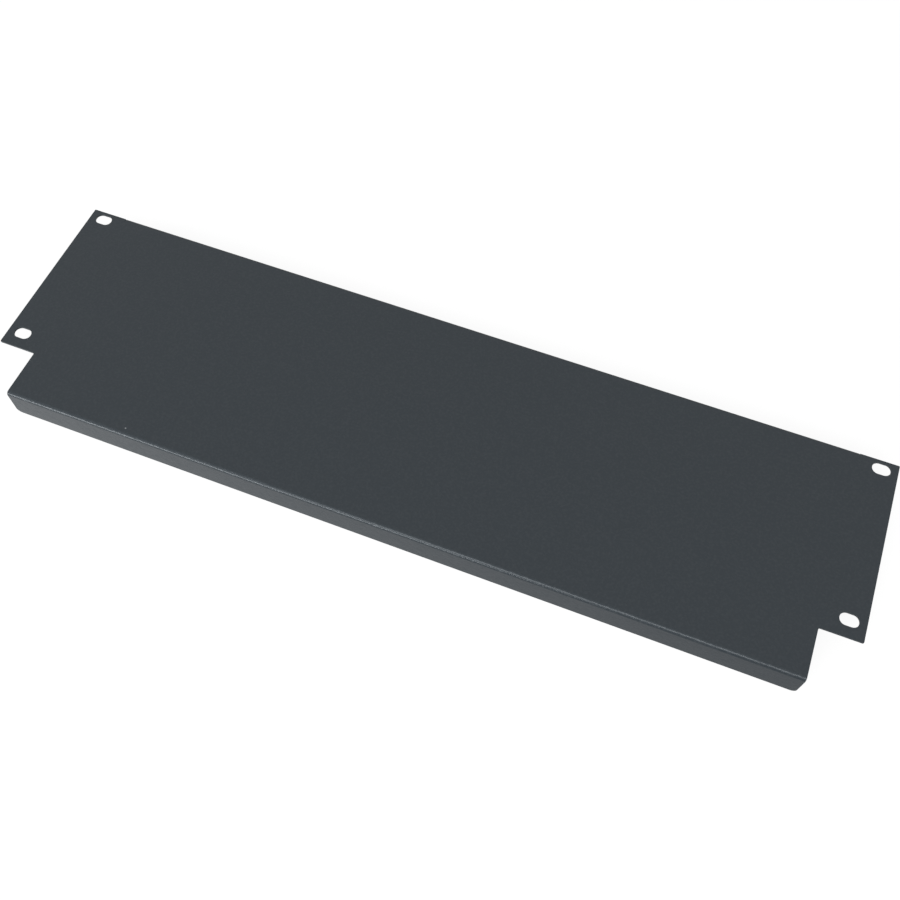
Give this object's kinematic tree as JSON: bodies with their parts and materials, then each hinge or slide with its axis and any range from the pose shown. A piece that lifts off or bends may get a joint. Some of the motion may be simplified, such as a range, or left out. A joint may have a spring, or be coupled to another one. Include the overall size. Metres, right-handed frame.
{
  "type": "rack faceplate",
  "caption": "Long flat rack faceplate folded from one steel sheet, with a flange turned back along its top and bottom edges and a slotted mounting ear at each end.",
  "frame": {"origin": "middle of the plate's length and height, level with the flanges' free edges, on which it lies", "axes": "+X along the plate, +Y towards its top edge, +Z out of its front face"},
  "size_m": [0.4826, 0.1324, 0.0186],
  "materials": {
    "powder_coat": "satin dark slate grey powder coat with a fine grain, on folded sheet steel"
  },
  "bodies": {
    "root": {"faceplate": "powder_coat"}
  },
  "joints": []
}
